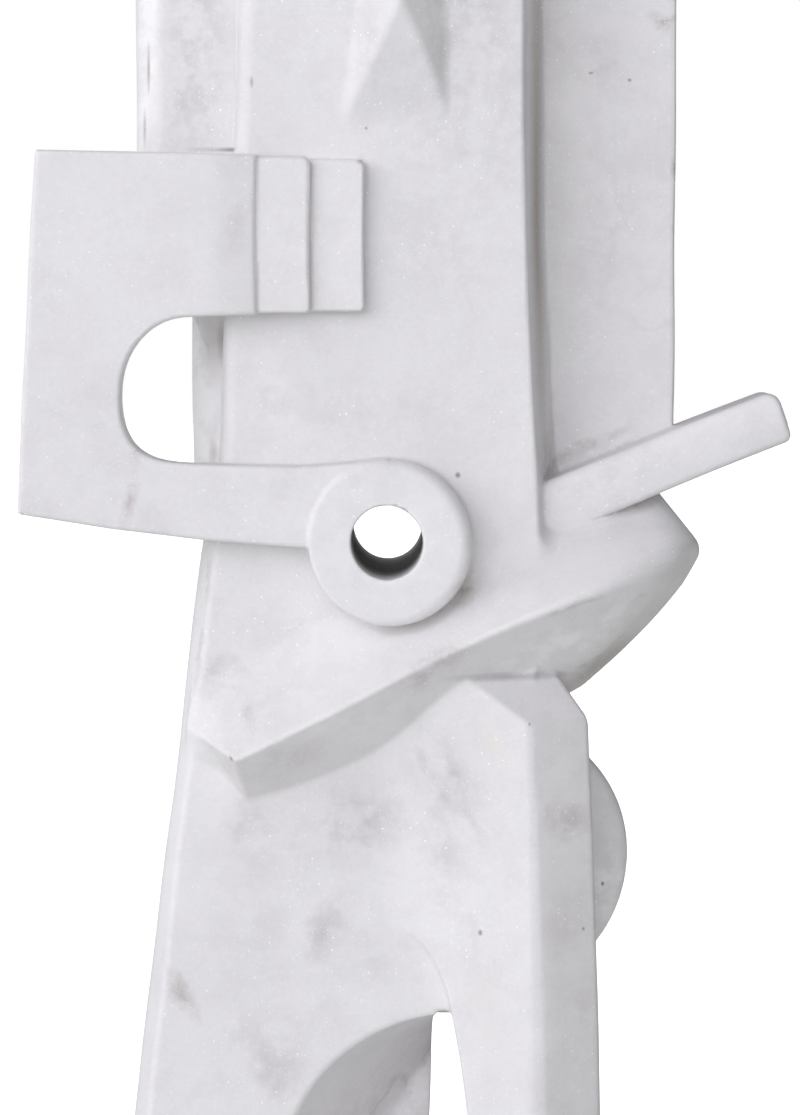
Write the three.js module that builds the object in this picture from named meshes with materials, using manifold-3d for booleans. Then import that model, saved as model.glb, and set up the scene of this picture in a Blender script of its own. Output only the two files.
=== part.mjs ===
// A standing figure in a cubist manner, carved with its low base from one block of white marble.
// Upright slabs set at different depths make the torso. A bent arm plate with stepped fingers stands off
// its left side, a pierced ring is the middle, a leaf-shaped hip crosses it, and an arch parts the legs.
// Millimetres, +Z up. The front faces -Y, +X is the viewer's right as seen from the front, and the origin
// is the middle of the underside.
import * as THREE from "three";
import { ConvexGeometry } from "three/addons/geometries/ConvexGeometry.js";
import { mergeVertices } from "three/addons/utils/BufferGeometryUtils.js";
import Module from "manifold-3d";

const wasm = await Module();
wasm.setup();

// Driving dimensions.
const baseWidth = 178;
const baseDepth = 124;
const baseHeight = 22;
const baseCorner = 5;

const bodyFront = -36; // the flat front that torso and left leg share
const bodyBack = 40;
const shoulderTop = 532;

const ringCentre = [-3.35, 321.4];
const ringRadius = 20.6;
const ringFront = -47.4;
const boreCentre = [-4.2, 321.6];
const boreRadius = 9.1;

const plateFront = -47;
const plateBack = -33;

const headTop = 658;

// How finely round stretches are cut into flats.
const arcSteps = 20;
const circleSteps = 64;

// ---- making solids ----

// A closed three.js geometry as a solid that can be joined and cut.
function solidOf(geometry) {
  const bare = new THREE.BufferGeometry();
  bare.setAttribute("position", geometry.getAttribute("position"));
  if (geometry.index) bare.setIndex(geometry.index);
  const merged = mergeVertices(bare, 1e-3);
  return new wasm.Manifold(
    new wasm.Mesh({
      numProp: 3,
      vertProperties: merged.attributes.position.array,
      triVerts: new Uint32Array(merged.index.array),
    }),
  );
}

// A solid between two outlines of [x, z] corners, anticlockwise from the front, at two depths.
// Both have the same number of corners, so a wall may slant from one to the other.
function loft(frontOutline, frontY, backOutline, backY) {
  const count = frontOutline.length;
  const flat = frontOutline.map(([x, z]) => new THREE.Vector2(x, z));
  const triangles = THREE.ShapeUtils.triangulateShape(flat, []);
  const index = [];
  for (const [a, b, c] of triangles) {
    const turn = THREE.ShapeUtils.area([flat[a], flat[b], flat[c]]);
    const [p, q, r] = turn > 0 ? [a, b, c] : [a, c, b];
    index.push(p, q, r, p + count, r + count, q + count);
  }
  for (let i = 0; i < count; i++) {
    const j = (i + 1) % count;
    index.push(i, i + count, j + count, i, j + count, j);
  }
  const corners = [
    ...frontOutline.map(([x, z]) => [x, frontY, z]),
    ...backOutline.map(([x, z]) => [x, backY, z]),
  ];
  const geometry = new THREE.BufferGeometry();
  geometry.setAttribute("position", new THREE.Float32BufferAttribute(corners.flat(), 3));
  geometry.setIndex(index);
  return solidOf(geometry);
}

// A slab with one outline all the way through.
const slab = (outline, frontY, backY) => loft(outline, frontY, outline, backY);

// The smallest faceted block that holds every [x, y, z] corner.
const block = (corners) =>
  solidOf(new ConvexGeometry(corners.map((c) => new THREE.Vector3(...c))));

// A cylinder lying along Y.
const disc = ([x, z], radius, frontY, backY) =>
  solidOf(
    new THREE.CylinderGeometry(radius, radius, backY - frontY, circleSteps)
      .translate(x, (frontY + backY) / 2, z),
  );

// Everything past the plane through three points, on the side of the outward direction.
function beyond(a, b, c, outward) {
  const [p, q, r] = [a, b, c].map((v) => new THREE.Vector3(...v));
  const normal = q.clone().sub(p).cross(r.clone().sub(p)).normalize();
  if (normal.dot(new THREE.Vector3(...outward)) < 0) normal.negate();
  const size = 800;
  const geometry = new THREE.BoxGeometry(size, size, size).translate(0, 0, size / 2);
  const turn = new THREE.Quaternion().setFromUnitVectors(new THREE.Vector3(0, 0, 1), normal);
  geometry.applyQuaternion(turn).translate(p.x, p.y, p.z);
  return solidOf(geometry);
}

const joined = (solids) => solids.reduce((all, one) => all.add(one));

// ---- outlines ----

// Corners along a cubic curve, without its last one.
function curve(from, pullOut, pullIn, to, steps = arcSteps / 2) {
  const line = new THREE.CubicBezierCurve(
    ...[from, pullOut, pullIn, to].map(([x, z]) => new THREE.Vector2(x, z)),
  );
  return line.getPoints(steps).slice(0, steps).map((p) => [p.x, p.y]);
}

// Corners along an arc, angles in degrees from +X towards +Z.
function arc([x, z], radius, fromAngle, toAngle, steps = arcSteps) {
  const corners = [];
  for (let i = 0; i <= steps; i++) {
    const angle = THREE.MathUtils.degToRad(fromAngle + ((toAngle - fromAngle) * i) / steps);
    corners.push([x + radius * Math.cos(angle), z + radius * Math.sin(angle)]);
  }
  return corners;
}

// An outline from a right edge going up and a left edge going up.
const between = (rightEdge, leftEdge) => [...rightEdge, ...leftEdge.slice().reverse()];

const shifted = (edge, dx) => edge.map(([x, z]) => [x + dx, z]);

// ---- torso and left leg ----

const footZ = baseHeight - 2; // legs run a little into the base

// The front slab's left edge, from the foot to the shoulder.
const leftEdge = [
  [-77, footZ], [-71, 120], [-65.2, 175], [-61.8, 205], [-59.2, 227], [-57, 245], [-54.4, 266],
  [-52.9, 278], [-50.2, 298], [-48.2, 317], [-45, 342], [-44.2, 375], [-41.5, 420], [-40, 457],
  [-38, 512],
];
const torsoRightEdge = [
  [36, 300], [34.5, 320], [33.8, 338], [32.4, 357], [31, 395], [30.4, 425], [30, 457], [29, 520],
];
const pelvisRightEdge = [[24, footZ], [24, 262]];

function torso() {
  const sideWiden = 2.6; // the left side leans out behind its front edge
  const wallLean = 5.2; // the right wall of the front slab leans out to the right slab
  const chamferDepth = 8;
  const edge = leftEdge.filter(([, z]) => z >= 317);
  const top = [[22, shoulderTop], [-26, shoulderTop + 6]];
  const face = [...torsoRightEdge, ...top, ...edge.slice().reverse()];
  const rear = [...shifted(torsoRightEdge, wallLean), ...top, ...edge.slice().reverse()];
  const upper = joined([loft(face, bodyFront, rear, -14), slab(rear, -14, bodyBack)]);

  const legEdge = leftEdge.filter(([, z]) => z <= 342);
  const lowerFace = between([...pelvisRightEdge, [34, 300], [33, 342]], legEdge);
  const lowerRear = between([...pelvisRightEdge, [34, 300], [33, 342]], shifted(legEdge, -sideWiden));
  const lower = joined([
    loft(lowerFace, bodyFront, lowerRear, bodyFront + chamferDepth),
    slab(lowerRear, bodyFront + chamferDepth, bodyBack - 2),
  ]);
  return joined([upper, lower]);
}

// The recessed slab behind the left edge: broad at the shoulder, narrow at the waist.
function leftSlab() {
  const shoulder = [[-30, 380], [-30, 512], [-46, 504], [-63, 490], [-63, 412], [-50, 384]];
  const shoulderRear = [[-30, 380], [-30, 512], [-46, 504], [-68.2, 488], [-68.2, 412], [-54.4, 384]];
  const waist = [[-30, 326], [-30, 400], [-51.6, 400], [-51.6, 326]];
  const waistRear = [[-30, 326], [-30, 400], [-54.4, 400], [-54.4, 326]];
  return joined([
    loft(shoulder, -24, shoulderRear, -18),
    slab(shoulderRear, -18, 30),
    loft(waist, -23, waistRear, -18),
    slab(waistRear, -18, 34),
  ]);
}

// The recessed slab on the right, its face turned a little outwards.
function rightSlab() {
  const outline = [[20, 322], [69.5, 343], [69.8, 492], [60, 500], [20, 516]];
  const facing = beyond([36, -13.5, 330], [36, -13.5, 460], [70, -12, 400], [0, -1, 0]);
  return slab(outline, -16, 32).subtract(facing);
}

// ---- arm, ring and bar ----

function armPlate() {
  const outline = [
    [-91.2, 420.1], [-95.9, 328.8], [-73.4, 325], [-50.9, 322.4], [-24.7, 320.4], [-4, 320],
    [-4, 342.1], [-15, 341.2], [-26, 340.5], [-50, 341.5],
    ...curve([-57, 341.6], [-66.5, 341.6], [-71.2, 347], [-71.2, 358.5]),
    ...curve([-71.2, 358.5], [-71.2, 369], [-65, 378.2], [-55, 378.2]),
    [-55, 378.2], [-36.9, 378.7], [-36.9, 418.6],
  ];
  // Right of a fold line the upper bar's front leans back.
  const fold = beyond([-47, plateFront, 380], [-47, plateFront, 420], [-23, plateFront + 3.6, 380], [0, -1, 0]);
  const upperBar = slab([[-60, 360], [0, 360], [0, 440], [-60, 440]], -60, 0);
  const root = slab([[-38, 379], [-38, 418], [-57, 418.5], [-57, 379]], plateBack - 1, -20);
  return slab(outline, plateFront, plateBack).subtract(fold.intersect(upperBar)).add(root);
}

// Two of the three fingers; the first is the plate's own end. Each steps down towards the torso.
function fingers() {
  const fingerBack = -30;
  const step = (left, right, bottom, top, front) =>
    slab(
      [
        [left, bottom],
        ...arc([right - 1, bottom + 1], 1, -90, 0, 3),
        ...arc([right - 2, top - 2], 2, 0, 90, 4),
        [left, top],
      ],
      front,
      fingerBack,
    );
  return joined([
    step(-42, -23.4, 379.1, 418.2, -43.8),
    step(-42, -10, 379.5, 417.7, -40.6),
  ]);
}

const ring = () => disc(ringCentre, ringRadius, ringFront, -20);

// The bar that crosses the right slab and ends past it.
function bar() {
  const outline = [
    [22, 316.1], [95.2, 346.1],
    ...arc([95.2, 348.2], 2, -68, 18, 4),
    ...arc([91.6, 354.9], 3.4, 18, 112, 6),
    [22, 330.6],
  ];
  return slab(outline, -31, -3);
}

// ---- hip and legs ----

// The leaf across the hips: an upper face, a lower face and a keel, meeting on a ridge.
const hip = () =>
  block([
    [-53.2, -36, 272.6], [-42.6, -48.6, 266.6], [-39.5, -36, 255.2], [-36, -22, 262],
    [-26.7, -52.4, 274.7], [-7.2, -52.8, 284.8], [12.5, -52.6, 294.8], [34.2, -54, 304.7],
    [48.2, -52.5, 310.3], [61.1, -47.5, 315.8], [69.4, -41, 319.2], [74.6, -33, 320.4],
    [-33.7, -35, 290.4], [-13.9, -35, 299.7], [6.7, -35, 307.6], [28, -33, 318.6], [40, -25, 328.2],
    [65, -25, 333.2],
    [-31.9, -36, 256.8], [-25.1, -36, 259.4], [-5.6, -36, 268.5], [6.1, -36, 277.9], [41, -34, 287.6],
    [53, -34, 296.3], [58.8, -34, 300.1], [67.6, -33, 308], [75.2, -26, 317.6],
    [42, -14, 283.4], [60.6, -14, 299.8], [74.8, -18, 315],
    [75.6, -14, 319.6], [66, 4, 333], [43, 20, 285], [68, 20, 317], [60, 22, 333],
    [-20, 10, 300],
  ]);

// The right leg: an upright with a sharp front edge, a sloping top and a straight outer side.
function rightLeg() {
  const outline = [
    [53, footZ], [50.1, 172], [48.8, 220], [47.3, 262], [46, 276.9], [41.7, 283.3], [41.4, 290],
    [14, 290], [-4, 270], [-6.5, 240], [-3, 226], [3, 222], [7, 215], [11.8, 202], [16.3, 175],
    [19, 120], [20, footZ],
  ];
  const edgeTop = [31.7, -46.5, 275.6];
  const edgeFoot = [38, -44, footZ];
  const leftFace = beyond(edgeTop, edgeFoot, [-5, -35.5, 250], [-1, -1, 0]);
  const rightFace = beyond(edgeTop, edgeFoot, [48, -37.5, 262], [1, -1, 0]);
  const topFace = beyond(edgeTop, [41, -31, 287.6], [15.5, -42, 287.2], [0, -1, 1]);
  return slab(outline, -48, bodyBack - 4)
    .subtract(leftFace)
    .subtract(rightFace)
    .subtract(topFace);
}

// The opening between the legs: a round scoop that drifts to the right as it deepens and spreads below,
// stopped on the left by a slanting facet, and a narrow slot right through whose roof climbs to the front.
function archCutter() {
  const centre = [13.8, 155.5];
  const radius = 45.8;
  const drift = 0.6; // to the right, per millimetre of depth
  const farLeft = -46.5;
  const startY = bodyFront - 8;
  const endY = bodyBack + 4;
  const sweep = arc(centre, radius, 40, 154.5);
  const outline = [[70, footZ - 4], ...sweep, [farLeft, 135.9], [farLeft, footZ - 4]];
  const moved = (y) => shifted(outline, drift * (y - bodyFront));
  const scoop = loft(moved(startY), startY, moved(endY), endY);
  const facet = beyond([7.3, 13.5, 190], [6.3, 13.5, 160], [-3.7, 10.5, 168], [-1, 1, 0]);
  const slot = (roof) => [[30, footZ - 4], [30, roof], [8.6, roof], [7.3, 187], [2.7, footZ - 4]];
  return scoop.subtract(facet).add(loft(slot(203.4), startY, slot(189.4), endY));
}

// The round disc behind the right leg.
const rearDisc = () => disc([25, 237], 32.4, -12, bodyBack + 2);

// A toe on each foot.
const feet = () =>
  joined([
    block([
      [-76, -30, footZ], [-46, -30, footZ], [-74, -56, footZ], [-49, -56, footZ],
      [-74, -56, 29], [-49, -56, 29], [-75, -34, 47], [-46, -34, 47],
    ]),
    block([
      [20, -30, footZ], [54, -30, footZ], [24, -56, footZ], [50, -56, footZ],
      [24, -56, 29], [50, -56, 29], [22, -34, 47], [53, -30, 47],
    ]),
  ]);

// ---- chest, neck and head ----

// The wedge that rises from the flat chest into an upright ridge.
const chestWedge = () =>
  block([
    [-15.6, -35.9, 428], [10.8, -35.9, 429.5], [-1, -44.5, 458.5],
    [-12.5, -35.9, 449], [10.8, -35.9, 450],
    [-8.5, -35, 520], [8.5, -35, 520], [-1, -43, 512], [-1, -30, 440], [-1, -30, 520],
  ]);

function head() {
  const neck = block([
    [-22, -20, 520], [16, -24, 520], [-20, 24, 520], [18, 24, 520],
    [-19, -18, 590], [14, -20, 590], [-17, 22, 590], [15, 22, 590],
  ]);
  const faceOutline = [
    [6, 560], [6, headTop], ...arc([-4, headTop - 24], 24, 90, 180, 10), [-28, 592], [-18, 566],
  ];
  const face = slab(faceOutline, -30, 22);
  const cheek = slab([[0, 568], [24, 576], [27, 612], [27, 626], [0, 640]], -15, 30);
  const ridge = block([
    [-11, -29, 600], [4, -29, 600], [-2, -41, 578], [-10, -29, 572], [4, -29, 572],
    [-3, -32, 642], [-5, -29, 646], [-1, -29, 646], [-2, -37, 569], [-3, -20, 600],
  ]);
  return joined([neck, face, cheek, ridge]);
}

// ---- back ----

// An upright slab down the back, and a lower one beside it.
function backSlabs() {
  const spine = [[22, 300], [20, 470], [12, 500], [-14, 500], [-18, 470], [-20, 300]];
  const spineRear = [[18, 304], [16, 466], [9, 492], [-11, 492], [-14, 466], [-16, 304]];
  return loft(spine, bodyBack - 2, spineRear, bodyBack + 7);
}

function base() {
  const halfX = baseWidth / 2;
  const halfY = baseDepth / 2;
  const plan = new THREE.Shape(
    [
      ...arc([halfX - baseCorner, halfY - baseCorner], baseCorner, 0, 90, 5),
      ...arc([baseCorner - halfX, halfY - baseCorner], baseCorner, 90, 180, 5),
      ...arc([baseCorner - halfX, baseCorner - halfY], baseCorner, 180, 270, 5),
      ...arc([halfX - baseCorner, baseCorner - halfY], baseCorner, 270, 360, 5),
    ].map(([x, y]) => new THREE.Vector2(x, y)),
  );
  return solidOf(new THREE.ExtrudeGeometry(plan, { depth: baseHeight, bevelEnabled: false }));
}

// ---- the figure ----

const carved = joined([
  torso().subtract(archCutter()),
  leftSlab(),
  rightSlab(),
  armPlate(),
  fingers(),
  ring(),
  bar(),
  hip(),
  rightLeg(),
  rearDisc(),
  feet(),
  chestWedge(),
  head(),
  backSlabs(),
  base(),
]).subtract(disc(boreCentre, boreRadius, -80, 80));

function geometryOf(solid) {
  const mesh = solid.getMesh();
  const positions = new Float32Array(mesh.numVert * 3);
  for (let i = 0; i < mesh.numVert; i++) {
    positions.set(mesh.vertProperties.subarray(i * mesh.numProp, i * mesh.numProp + 3), i * 3);
  }
  const geometry = new THREE.BufferGeometry();
  geometry.setAttribute("position", new THREE.BufferAttribute(positions, 3));
  geometry.setIndex(new THREE.BufferAttribute(mesh.triVerts, 1));
  return geometry;
}

const marble = new THREE.MeshStandardMaterial({ color: 0xe4e3e7, roughness: 0.5, metalness: 0 });
const figure = new THREE.Mesh(geometryOf(carved), marble);
figure.name = "figure";

const root = new THREE.Group();
root.add(figure);

export default root;
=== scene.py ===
import math
import time

import bpy
import numpy as np
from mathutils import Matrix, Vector


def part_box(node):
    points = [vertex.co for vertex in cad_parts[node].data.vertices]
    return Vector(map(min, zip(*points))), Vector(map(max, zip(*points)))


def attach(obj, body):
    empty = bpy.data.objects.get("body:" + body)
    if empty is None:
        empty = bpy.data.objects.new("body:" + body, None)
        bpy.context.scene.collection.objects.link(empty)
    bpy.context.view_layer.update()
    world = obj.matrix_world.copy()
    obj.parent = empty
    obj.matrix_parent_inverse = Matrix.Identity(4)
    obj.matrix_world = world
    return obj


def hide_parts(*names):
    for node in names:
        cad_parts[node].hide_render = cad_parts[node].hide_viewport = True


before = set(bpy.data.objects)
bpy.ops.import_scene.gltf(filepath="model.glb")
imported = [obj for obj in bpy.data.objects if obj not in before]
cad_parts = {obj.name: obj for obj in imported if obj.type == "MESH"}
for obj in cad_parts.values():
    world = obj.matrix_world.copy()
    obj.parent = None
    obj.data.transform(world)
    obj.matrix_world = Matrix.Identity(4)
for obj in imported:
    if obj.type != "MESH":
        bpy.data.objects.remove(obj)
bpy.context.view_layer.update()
began = time.time()


def say(stage):
    print(f"{stage}: {time.time() - began:.1f} s")


# camera: a long lens a little above the chest, looking slightly down

view = dict(place=(-0.001, -1.247, 0.38636), down=3.261, lens=154.98, nearest=0.05, farthest=60)


def addCamera():
    camera = bpy.data.objects.new("camera", bpy.data.cameras.new("camera"))
    camera.data.lens = view["lens"]
    camera.data.clip_start = view["nearest"]
    camera.data.clip_end = view["farthest"]
    camera.location = view["place"]
    camera.rotation_euler = (math.radians(90 - view["down"]), 0, 0)
    bpy.context.scene.collection.objects.link(camera)
    bpy.context.scene.camera = camera


addCamera()

# the stone as a field: a signed distance in millimetres, below zero inside. A sloping face's value is
# divided by its steepness, so that it stays close to a true distance


def cut(a, b, r):
    # what is inside both; their shared edge is a quarter round of radius r
    return np.minimum(np.maximum(a, b), -r) + np.hypot(np.maximum(a + r, 0), np.maximum(b + r, 0))


def join(a, b, r):
    # what is inside either; the inner corner between them is filled by a quarter round of radius r
    return np.maximum(np.minimum(a, b), r) - np.hypot(np.maximum(r - a, 0), np.maximum(r - b, 0))


def fold(a, b, k):
    # what is inside both where the faces are nearly in line: a parabola as wide as their difference k
    gap = np.maximum(k - np.abs(a - b), 0) / k
    return np.maximum(a, b) + gap * gap * k / 4


def cutAll(r, first, *others):
    # what is inside all of them, each edge in turn rounded by r
    for other in others:
        first = cut(first, other, r)
    return first


def within(*fields):
    # what is inside all of them, with sharp edges
    return np.maximum.reduce(fields)


def slant(u, v, through, outward):
    # a straight face seen edge on: the distance past the line through a point, in its outward direction
    (u0, v0), (du, dv) = through, outward
    return ((u - u0) * du + (v - v0) * dv) / math.hypot(du, dv)


def facet(p, q, s, outward):
    # distance from the plane through three points, positive on the outward side
    p, q, s = (np.array(v, float) for v in (p, q, s))
    n = np.cross(q - p, s - p)
    n /= np.linalg.norm(n)
    if n @ np.array(outward, float) < 0:
        n = -n
    return lambda x, y, z: n[0] * (x - p[0]) + n[1] * (y - p[1]) + n[2] * (z - p[2])


def block(x, y, z, middle, half):
    # an upright box about its middle: the farthest of its three pairs of faces
    return within(*(np.abs(v - m) - h for v, m, h in zip((x, y, z), middle, half)))


def edgeLine(zs, xs):
    # a smooth edge through a few corners: cubic Hermite spans whose slopes are central differences
    zs, xs = np.array(zs, float), np.array(xs, float)
    slope = np.gradient(xs, zs)
    t = np.linspace(zs[0], zs[-1], 600)
    i = np.clip(np.searchsorted(zs, t) - 1, 0, len(zs) - 2)
    h = zs[i + 1] - zs[i]
    u = (t - zs[i]) / h
    x = (2 * u**3 - 3 * u**2 + 1) * xs[i] + (u**3 - 2 * u**2 + u) * h * slope[i]
    x += (3 * u**2 - 2 * u**3) * xs[i + 1] + (u**3 - u**2) * h * slope[i + 1]
    return lambda z: np.interp(z, t, x)


def roundPath(corners, steps=8):
    # a closed outline softened: Catmull-Rom spans through the corners
    p = np.array(corners, float)
    a, b, c, d = np.roll(p, 1, 0), p, np.roll(p, -1, 0), np.roll(p, -2, 0)
    u = (np.arange(steps) / steps)[None, :, None]
    a, b, c, d = (q[:, None, :] for q in (a, b, c, d))
    out = 0.5 * (2 * b + (c - a) * u + (2 * a - 5 * b + 4 * c - d) * u**2 + (3 * b - a - 3 * c + d) * u**3)
    return out.reshape(-1, 2)


def bezier(p, q, r, s, steps=7):
    # a cubic Bezier span without its last point
    u = (np.arange(steps) / steps)[:, None]
    p, q, r, s = (np.array(v, float) for v in (p, q, r, s))
    return (1 - u) ** 3 * p + 3 * u * (1 - u) ** 2 * q + 3 * u**2 * (1 - u) * r + u**3 * s


def outlineDistance(x, z, corners):
    # distance to the nearest stretch of a closed outline, negative inside by counting crossings
    p = np.asarray(corners, float)
    best = np.full(x.shape, np.inf)
    inside = np.zeros(x.shape, bool)
    for (ax, az), (bx, bz) in zip(p, np.roll(p, -1, 0)):
        ex, ez = bx - ax, bz - az
        wx, wz = x - ax, z - az
        t = np.clip((wx * ex + wz * ez) / (ex * ex + ez * ez), 0, 1)
        best = np.minimum(best, (wx - ex * t) ** 2 + (wz - ez * t) ** 2)
        if az != bz:
            inside ^= ((az > z) != (bz > z)) & (x < ex * (z - az) / ez + ax)
    return np.where(inside, -1, 1) * np.sqrt(best)


# torso, pelvis and left leg; a line is a point it passes through and its outward direction

body = dict(
    front=-36,
    back=40,
    foot=16,
    leftZ=[20, 120, 175, 205, 227, 245, 266, 278, 298, 317, 342, 375, 420, 457, 512, 540],
    leftX=[-77, -71, -65.2, -61.8, -59.2, -57, -54.4, -52.9, -50.2, -48.2, -45, -44.2, -41.5, -40, -38, -37],
    rightZ=[20, 262, 300, 320, 338, 357, 395, 425, 457, 520, 540],
    rightX=[24, 24, 36, 34.5, 33.8, 32.4, 31, 30.4, 30, 29, 28],
    sideZ=[205, 230, 256, 281, 300, 322, 340, 378, 420],
    sideWidth=[3.8, 3.6, 3.2, 3.6, 3.8, 3.6, 2.2, 1.4, 1.6],
    sideTurn=0.5,
    wallLean=0.235,
    wallReach=6,
    tops=[((22, 532), (1, 8)), ((29, 520), (12, 7)), ((-38, 512), (-26, 12))],
    roundZ=[312, 322, 400, 430],
    frontRound=[1.1, 1.8, 2.0, 2.4],
)
bodyLeft = edgeLine(body["leftZ"], body["leftX"])
bodyRight = edgeLine(body["rightZ"], body["rightX"])


def bodyField(x, y, z):
    # a flat front; the left side ramps outwards behind its front edge; the right wall leans to the right slab
    left, right = bodyLeft(z), bodyRight(z)
    behind = y - body["front"]
    turn, lean = body["sideTurn"], body["wallLean"]
    ramp = (left - x - turn * behind) / math.hypot(1, turn)
    side = cut(ramp, left - np.interp(z, body["sideZ"], body["sideWidth"]) - x, 1.2)
    wall = cut((x - right - lean * behind) / math.hypot(1, lean), x - right - body["wallReach"], 0.5)
    top = cutAll(1.5, *(slant(x, z, *line) for line in body["tops"]))
    d = cut(-behind, side, np.interp(z, body["roundZ"], body["frontRound"]))
    d = cut(d, wall, 0.8)
    return within(cutAll(1.6, d, y - body["back"], top), body["foot"] - z)


arch = dict(
    centre=(13.8, 155.5),
    radius=45.8,
    drift=0.6,
    spreadFrom=(-27.7, 175.3),
    spread=0.477,
    farLeft=-46.5,
    slotLeft=((7.2, 184), (-1, 0.027)),
    roof=190,
    roofClimb=0.16,
    foot=20,
)
archFacet = facet((7.3, 13.5, 190), (6.3, 13.5, 160), (-3.7, 10.5, 168), (-1, 1, 0))


def archField(x, y, z):
    # a round scoop that drifts right as it deepens and spreads below along its tangent, stopped on the
    # left by a slanting facet, and a slot right through whose roof climbs towards the front
    across = x - arch["drift"] * (y - body["front"])
    cx, cz = arch["centre"]
    scoop = np.hypot(np.minimum(across - cx, 0), np.maximum(z - cz, 0)) - arch["radius"]
    tangent = slant(across, z, arch["spreadFrom"], (-1, arch["spread"]))
    below = within(tangent, z - arch["spreadFrom"][1], arch["farLeft"] - across)
    scoop = np.minimum(scoop, below) / math.hypot(1, arch["drift"])
    scoop = cut(scoop, archFacet(x, y, z), 1.0)
    roof = slant(y, z, (body["back"], arch["roof"]), (arch["roofClimb"], 1))
    slot = cut(slant(x, z, *arch["slotLeft"]), roof, 1.8)
    return within(np.minimum(scoop, slot), arch["foot"] - z)


# recessed slabs beside the torso

shoulder = dict(
    front=-24,
    left=-68.2,
    back=30,
    inner=-30,
    bevel=((-63, -24), (-6, -5.2)),
    under=((-63, 398), (-28, -13)),
    tops=[((-46, 504), (-0.7, 1)), ((-46, 521), (-1.2, 1))],
)
shoulderUnder = facet((-51.7, -17, 366), (-45.6, -21, 372.5), (-52, -24.5, 380), (0, -1, -1))
waist = dict(
    left=-54.4,
    back=34,
    inner=-30,
    middle=363,
    half=37,
    strip=((-54.4, -12), (-5, -2.6)),
    turned=((-51.8, -17), (-0.7, -1)),
)


def leftSlabField(x, y, z):
    # the shoulder: front set back, its outer front edge broken by a broad bevel, a slanting lower end
    top = within(*(slant(x, z, *line) for line in shoulder["tops"]))
    bevel = slant(x, y, *shoulder["bevel"])
    upper = cutAll(1.3, shoulder["front"] - y, bevel, shoulder["left"] - x, y - shoulder["back"], top)
    under = within(slant(x, z, *shoulder["under"]), shoulderUnder(x, y, z))
    upper = within(cut(upper, under, 0.8), x - shoulder["inner"])
    # the waist: an outer strip and a face that turns to the left, side by side
    lower = cutAll(0.9, slant(x, y, *waist["turned"]), slant(x, y, *waist["strip"]), waist["left"] - x)
    lower = within(lower, y - waist["back"], np.abs(z - waist["middle"]) - waist["half"], x - waist["inner"])
    return join(upper, lower, 0.8)


rightSlab = dict(
    front=((36, -13.5), (0.044, -1)),
    right=((69.5, 343), (1, -0.002)),
    tops=[((60, 500), (0.4, 1)), ((69.8, 492), (0.82, 1))],
    bottom=((20, 322), (0.424, -1)),
    back=32,
    inner=20,
)


def rightSlabField(x, y, z):
    # the right slab: its face turns a little outwards, its top falls away to the right
    d = cut(slant(x, y, *rightSlab["front"]), slant(x, z, *rightSlab["right"]), 0.9)
    top = within(*(slant(x, z, *line) for line in rightSlab["tops"]))
    bottom = slant(x, z, *rightSlab["bottom"])
    return cutAll(1.2, d, y - rightSlab["back"], top, bottom, rightSlab["inner"] - x)


# arm plate, fingers, ring and bar

plate = dict(
    front=-47,
    back=-33,
    middle=360,
    upperFold=(-47, 0.15),
    lowerFold=(-51, 0.004),
    outer=[(-92.2, 420.1), (-96.9, 328.8), (-73.4, 325), (-50.9, 322.4), (-24.7, 320.4), (-4, 320)],
    bar=[(-4, 342.1), (-15, 341.2), (-26, 340.5), (-42, 341)],
    loop=[
        ((-50, 341.4), (-59, 341.4), (-64.5, 342.2), (-68, 346.4)),
        ((-68, 346.4), (-70.6, 350), (-71.2, 354), (-71.2, 358.2)),
        ((-71.2, 358.2), (-71.2, 364.5), (-69.5, 370), (-64.8, 374.2)),
        ((-64.8, 374.2), (-61.5, 377), (-58, 378.2), (-53, 378.3)),
    ],
    end=[(-53, 378.3), (-36.9, 378.7), (-36.9, 418.6)],
    root=((-47.5, -27, 398.6), (9.5, 7, 19.6)),
)
plateLoop = np.vstack([bezier(*span) for span in plate["loop"]])
plateOutline = np.vstack([plate["outer"], plate["bar"], plateLoop, plate["end"]])


def plateField(x, y, z):
    # a flat plate with an open loop, rooted in the body; past a fold line each bar's front leans back
    sheet = outlineDistance(x, z, plateOutline)
    (upperX, upperDrop), (lowerX, lowerDrop) = plate["upperFold"], plate["lowerFold"]
    upper = z > plate["middle"]
    drop = np.where(upper, upperDrop, lowerDrop)
    leaning = plate["front"] + drop * (x - np.where(upper, upperX, lowerX)) - y
    front = fold(plate["front"] - y, leaning / 1.01, drop * 3)
    d = cutAll(1.0, sheet, front, y - plate["back"])
    return join(d, block(x, y, z, *plate["root"]), 0.6)


fingers = dict(
    left=-42,
    back=-30,
    steps=[
        dict(right=-23.4, low=379.1, high=418.2, front=-44.4),
        dict(right=-10, low=379.5, high=417.7, front=-41.6),
    ],
)


def fingersField(x, y, z):
    # each finger is a bar with a rounded outer end, one step lower than the last
    d = np.full(x.shape, np.inf)
    for one in fingers["steps"]:
        end = cut(cut(x - one["right"], z - one["high"], 2.4), one["low"] - z, 1.4)
        end = within(end, fingers["left"] - x, y - fingers["back"])
        d = np.minimum(d, cut(end, one["front"] - y, 0.8))
    return d


ring = dict(
    centre=(-3.35, 321.4),
    radius=20.6,
    front=-47.4,
    back=-20,
    roundX=[-18, 12],
    frontRound=[0.8, 3.4],
    boreCentre=(-4.2, 321.6),
    bore=9.1,
)


def discDistance(x, z, centre, radius):
    # distance outside an upright circle
    return np.hypot(x - centre[0], z - centre[1]) - radius


def ringField(x, y, z):
    # a short drum whose front edge is rounder on the right
    rim = discDistance(x, z, ring["centre"], ring["radius"])
    soft = np.interp(x, ring["roundX"], ring["frontRound"])
    return within(cut(rim, ring["front"] - y, soft), y - ring["back"])


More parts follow.
